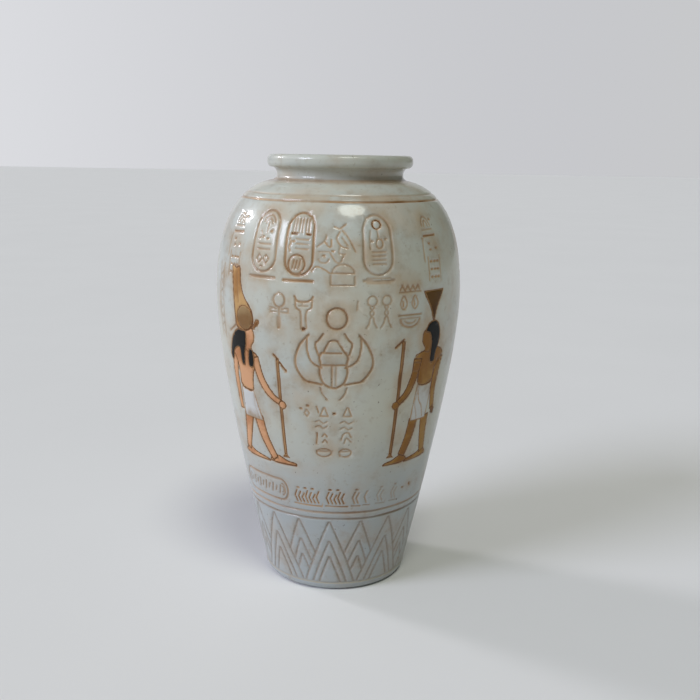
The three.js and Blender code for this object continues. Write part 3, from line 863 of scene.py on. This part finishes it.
def carve(name, drawing):
    """The jar with its drawing cut in, and with what the finish needs to know kept on its vertices."""
    samples = np.vstack(drawing.samples)
    lines = on_wall(samples[:, :2])
    lines += wandering(lines, HAND_WANDER, HAND_WANDER_LENGTH, 1)
    ring_points, ring_sizes = ring_samples()

    mesh = turned_jar()
    line_tree = tree_of(lines)
    make_fine_along(mesh, line_tree, samples[:, 2])
    points = np.array([vertex.co for vertex in mesh.verts])
    wall = np.flatnonzero(is_wall(points))
    angle = np.arctan2(points[wall, 0], -points[wall, 1])
    height = points[wall, 2]
    outward, upward = wall_facing(height)
    facing = np.stack([outward * np.sin(angle), -outward * np.cos(angle), upward], axis=1)
    radius = wall_radius(height)
    surface = np.stack([radius * np.sin(angle), -radius * np.cos(angle), height], axis=1)

    all_points = np.vstack([lines, ring_points])
    all_sizes = np.vstack([samples[:, 2:], ring_sizes])
    tree = tree_of(all_points)
    nearest = [tree.find(point) for point in surface]
    index = np.array([found[1] for found in nearest])
    distance = np.array([found[2] for found in nearest])
    half, depth, stain = all_sizes[index].T
    share = np.clip(distance / (GROOVE_SPREAD * half), 0, 1)
    waves = np.array([noise.noise(Vector(point) / WALL_UNEVENNESS_LENGTH) for point in surface])
    unevenness = 0.5 + 0.5 * waves
    from_ends = np.minimum(height - FOOT_EDGE_HEIGHT, shoulder_top - height)
    fade = np.clip(from_ends / UNEVENNESS_FADE, 0, 1)
    sink = depth * (1 - share ** 2) ** 1.5 + WALL_UNEVENNESS * unevenness * fade
    points[wall] = surface - facing * sink[:, None]
    for vertex, point in zip(mesh.verts, points):
        vertex.co = point * MM
    bmesh.ops.recalc_face_normals(mesh, faces=mesh.faces)
    for face in mesh.faces:
        face.smooth = True

    data = bpy.data.meshes.new(name)
    mesh.to_mesh(data)
    mesh.free()

    groove = np.zeros(len(points))
    stain_share = 1 - (distance / (GROOVE_STAIN_REACH * half)) ** 2
    groove[wall] = stain * np.clip(GROOVE_STAIN_FULLNESS * stain_share, 0, 1)
    halo = np.zeros(len(points))
    from_lines = np.array([line_tree.find(point)[2] for point in surface])
    halo[wall] = np.clip((HALO_REACH - from_lines) / HALO_FADE, 0, 1)
    up = height * GRID_ROWS / shoulder_top
    for low, high in STAINED_BANDS:
        within = np.clip(np.minimum(up - low, high - up) / BAND_FADE, 0, 1)
        halo[wall] = np.maximum(halo[wall], BAND_STAIN * within)
    paint = np.zeros((len(points), 4))
    places = np.stack([angle * GRID_COLUMNS / (2 * math.pi), up], axis=1)
    for outline, tint in drawing.paints:
        covered = wall[inside(outline, places)]
        paint[covered] = (*tint, 1)
    from_axis = np.hypot(points[:, 0], points[:, 1])
    above = points[:, 2]
    outside = from_axis > NECK_RADIUS - 0.5
    halo[outside & (above > shoulder_top + 0.02) & (above < lip_underside + 1)] = NECK_STAIN
    in_corner = np.abs(above - shoulder_top - NECK_CORNER_RISE) < NECK_CORNER_REACH
    groove[outside & in_corner] = NECK_CORNER_STAIN
    hollow = np.zeros(len(points))
    hollow[above > FLOOR - 1] = 1
    hollow[wall] = 0
    hollow[(from_axis > NECK_RADIUS - WALL + 0.5) & (above > shoulder_top - 0.1)] = 0
    keep(data, "groove", groove)
    keep(data, "halo", halo)
    keep(data, "hollow", hollow)
    keep(data, "paint", paint, "FLOAT_COLOR", "color")
    jar = bpy.data.objects.new(name, data)
    bpy.context.scene.collection.objects.link(jar)
    return jar


# Finishes

class Amount:
    """A number or a colour inside a material, so that shader maths reads as sums."""

    def __init__(self, shader, socket):
        self.shader = shader
        self.socket = socket

    def maths(self, operation, *values, clamp=False):
        settings = {"operation": operation, "use_clamp": clamp}
        return self.shader.node("ShaderNodeMath", settings, dict(enumerate(values)))

    def __add__(self, other):
        return self.maths("ADD", self, other)

    def __radd__(self, other):
        return self.maths("ADD", other, self)

    def __sub__(self, other):
        return self.maths("SUBTRACT", self, other)

    def __rsub__(self, other):
        return self.maths("SUBTRACT", other, self)

    def __mul__(self, other):
        return self.maths("MULTIPLY", self, other)

    def __rmul__(self, other):
        return self.maths("MULTIPLY", other, self)

    def held(self):
        """The same amount, kept between 0 and 1."""
        return self.maths("ADD", self, 0, clamp=True)


class Shader:
    """The nodes of one material, or of the world."""

    def __init__(self, owner):
        owner.use_nodes = True
        self.owner = owner
        self.tree = owner.node_tree
        self.tree.nodes.clear()

    def node(self, kind, settings=None, inputs=None, output=0):
        """One node: its settings first, then the values or links of its sockets."""
        node = self.tree.nodes.new(kind)
        for setting, value in (settings or {}).items():
            setattr(node, setting, value)
        for socket, value in (inputs or {}).items():
            if isinstance(value, Amount):
                self.tree.links.new(value.socket, node.inputs[socket])
            else:
                node.inputs[socket].default_value = value
        return Amount(self, node.outputs[output])

    def mix(self, share, first, second):
        """A colour between two others."""
        first, second = (tint if isinstance(tint, Amount) else (*tint, 1) for tint in (first, second))
        return self.node("ShaderNodeMix", {"data_type": "RGBA"}, {0: share, 6: first, 7: second}, output=2)

    def noise(self, place, scale, detail=3, roughness=0.55):
        inputs = {"Vector": place, "Scale": scale, "Detail": detail, "Roughness": roughness}
        return self.node("ShaderNodeTexNoise", {}, inputs)

    def between(self, value, low, high):
        """0 below low, 1 above high, and a smooth step between."""
        return self.node("ShaderNodeMapRange", {"interpolation_type": "SMOOTHSTEP"},
                         {"Value": value, "From Min": low, "From Max": high})

    def attribute(self, name, output=2):
        return self.node("ShaderNodeAttribute", {"attribute_name": name}, output=output)

    def finish(self, surface, kind="ShaderNodeOutputMaterial"):
        output = self.tree.nodes.new(kind)
        self.tree.links.new(surface.socket, output.inputs["Surface"])
        return self.owner


# Heights on the jar, in metres: where the painted shade on the lower body fades out, and below which the cuts
# are faded
SHADED_LOW_ZONE = (0.08, 0.2)
FADED_CUTS = (0.082, 0.088)


def varnished_body():
    """Pale cast body with painted shade low down (darker and bluer towards the foot), tan stain round the
    cuts, paint, and gloss on all but the paint.
    """
    shader = Shader(bpy.data.materials.new("varnished_body"))
    place = shader.node("ShaderNodeTexCoord", output=3)
    groove, halo = shader.attribute("groove"), shader.attribute("halo")
    hollow = shader.attribute("hollow")
    paint = shader.attribute("paint", 0)
    painted = shader.between(shader.attribute("paint", 3), 0.4, 0.7)
    broad = shader.noise(place, 9, 3)
    cloud = shader.noise(place, 30, 4)
    fleck = shader.noise(place, 62, 5, 0.65)
    speckle = shader.noise(place, 150, 5, 0.7)
    pits = shader.noise(place, 330, 2)
    body = shader.mix(shader.between(broad, 0.35, 0.65), colour(192, 192, 178), colour(183, 187, 180))
    body = shader.mix(0.5 * shader.between(cloud, 0.5, 0.75), body, colour(200, 196, 184))
    above = shader.node("ShaderNodeSeparateXYZ", {}, {"Vector": place}, output=2)
    # Painted shade: low down the body is mixed towards a darker, bluer grey, standing in for the weaker light
    # near the foot; the same share also thins the tan stain there.
    low = 1 - shader.between(above, *SHADED_LOW_ZONE)
    body = shader.mix(0.75 * low, body, colour(154, 162, 168))
    blotch = shader.between(cloud * 0.6 + broad * 0.4, 0.46, 0.62)
    tan = ((0.26 * blotch + 0.36 * halo * shader.between(cloud, 0.3, 0.65)) * (1 - 0.6 * low)).held()
    body = shader.mix(tan, body, colour(168, 140, 102))
    flecked = shader.between(fleck * 0.7 + broad * 0.3, 0.5, 0.68)
    body = shader.mix(0.36 * flecked, body, colour(146, 124, 96))
    body = shader.mix(0.4 * shader.between(speckle, 0.58, 0.72), body, colour(140, 118, 88))
    wear = 0.8 * shader.between(cloud, 0.42, 0.62)
    worn = shader.node("ShaderNodeMix", {"data_type": "RGBA", "blend_type": "MULTIPLY"},
                       {0: wear, 6: paint, 7: (*colour(206, 178, 148), 1)}, output=2)
    tinted = shader.mix(painted, body, worn)
    cut = shader.mix(shader.between(cloud, 0.35, 0.65), colour(178, 140, 96), colour(146, 108, 68))
    cut = shader.mix(shader.between(groove, 0.95, 1.3), cut, colour(110, 72, 38))
    cut = shader.mix(0.7 * (1 - shader.between(above, *FADED_CUTS)), cut, colour(124, 112, 98))
    stained = shader.mix((groove * (0.62 + 0.5 * speckle)).held(), tinted, cut)
    pitted = shader.mix(0.7 * shader.between(pits, 0.722, 0.75), stained, colour(96, 80, 66))
    final = shader.mix(hollow, pitted, colour(168, 160, 142))
    height = cloud * 0.5 + speckle * 0.12
    bump = shader.node("ShaderNodeBump", {}, {"Strength": 0.25, "Distance": 0.0006, "Height": height})
    surface = shader.node("ShaderNodeBsdfPrincipled", {}, {
        "Base Color": final,
        "Roughness": 0.3 + 0.18 * speckle + 0.35 * hollow + 0.12 * painted,
        "Normal": bump,
        "Coat Weight": 0.6 * (1 - hollow) * (1 - 0.9 * painted),
        "Coat Roughness": 0.12,
        "Specular IOR Level": 0.2,
    })
    return shader.finish(surface)


def floor_finish():
    shader = Shader(bpy.data.materials.new("pale_floor"))
    place = shader.node("ShaderNodeTexCoord", output=3)
    tint = shader.mix(shader.noise(place, 3), colour(216, 216, 216), colour(221, 221, 221))
    return shader.finish(shader.node("ShaderNodeBsdfPrincipled", {}, {"Base Color": tint, "Roughness": 0.8}))


# The studio

CAMERA_DISTANCE = 0.8649
CAMERA_HEIGHT = 0.4214
CAMERA_PITCH = math.radians(12.63)
CAMERA_YAW = math.radians(0.82)
CAMERA_ROLL = math.radians(0.94)
CAMERA_LENS = 45.12
SENSOR_WIDTH = 36
LAMP_DISTANCE = 3
FLOOR_REACH = 20


def camera():
    """The camera stands level with the lip, close in front, and looks down at the jar."""
    level_right = Vector((math.cos(CAMERA_YAW), -math.sin(CAMERA_YAW), 0))
    level_ahead = Vector((math.sin(CAMERA_YAW), math.cos(CAMERA_YAW), 0))
    ahead = math.cos(CAMERA_PITCH) * level_ahead - math.sin(CAMERA_PITCH) * Vector((0, 0, 1))
    level_up = math.sin(CAMERA_PITCH) * level_ahead + math.cos(CAMERA_PITCH) * Vector((0, 0, 1))
    right = math.cos(CAMERA_ROLL) * level_right + math.sin(CAMERA_ROLL) * level_up
    up = math.cos(CAMERA_ROLL) * level_up - math.sin(CAMERA_ROLL) * level_right
    data = bpy.data.cameras.new("camera")
    data.lens = CAMERA_LENS
    data.sensor_width = SENSOR_WIDTH
    holder = bpy.data.objects.new("camera", data)
    bpy.context.scene.collection.objects.link(holder)
    turned = Matrix((right, up, -ahead)).transposed().to_4x4()
    holder.matrix_world = Matrix.Translation((0, -CAMERA_DISTANCE, CAMERA_HEIGHT)) @ turned
    bpy.context.scene.camera = holder


def lamp(name, azimuth, elevation, width, strength, tint=(1, 1, 1)):
    """A far, broad light. Its azimuth is in degrees, 0 in front of the jar and positive to the right."""
    data = bpy.data.lights.new(name, "SUN")
    data.angle = math.radians(width)
    data.energy = strength
    data.color = tint
    holder = bpy.data.objects.new(name, data)
    across, above = math.radians(azimuth), math.radians(elevation)
    level = math.cos(above)
    towards = Vector((level * math.sin(across), -level * math.cos(across), math.sin(above)))
    holder.location = LAMP_DISTANCE * towards
    holder.rotation_euler = towards.to_track_quat("Z", "Y").to_euler()
    bpy.context.scene.collection.objects.link(holder)


def studio_world():
    """Soft light from all round: strong behind the jar and on its left, weak on its right."""
    shader = Shader(bpy.data.worlds.new("studio"))
    direction = shader.node("ShaderNodeTexCoord", output=0)
    across = shader.node("ShaderNodeSeparateXYZ", {}, {"Vector": direction}, output=0)
    ahead = shader.node("ShaderNodeSeparateXYZ", {}, {"Vector": direction}, output=1)
    left = shader.between(across * -1, -0.3, 0.9)
    strength = 0.1 + 0.25 * left + 0.5 * shader.between(ahead, 0.86, 0.92)
    tint = shader.mix(shader.between(ahead - across, -0.5, 0.8), (0.98, 1, 0.84), (0.95, 0.96, 1))
    light = shader.node("ShaderNodeBackground", {}, {"Color": tint, "Strength": strength})
    return shader.finish(light, "ShaderNodeOutputWorld")


def studio():
    bpy.context.scene.view_settings.view_transform = "Standard"
    bpy.context.scene.world = studio_world()
    lamp("window_left", -62, 30, 24, 1.87, (0.8, 0.83, 1))
    lamp("window_behind", -118, 24, 9, 0.9, (0.95, 0.93, 1))
    lamp("ceiling", 22, 66, 20, 1.1, (0.97, 1, 0.9))


def floor():
    mesh = bmesh.new()
    bmesh.ops.create_grid(mesh, x_segments=8, y_segments=8, size=FLOOR_REACH)
    data = bpy.data.meshes.new("floor")
    mesh.to_mesh(data)
    mesh.free()
    sheet = bpy.data.objects.new("floor", data)
    sheet.data.materials.append(floor_finish())
    bpy.context.scene.collection.objects.link(sheet)


camera()
studio()
floor()

drawing = Drawing()
chevron_band(drawing)
front_drawing(drawing)
side_drawing(drawing, 181)
side_drawing(drawing, -195)
back_drawing(drawing)
jar = carve("carved_jar", drawing)
jar.data.materials.append(varnished_body())
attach(jar, "root")
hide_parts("jar")
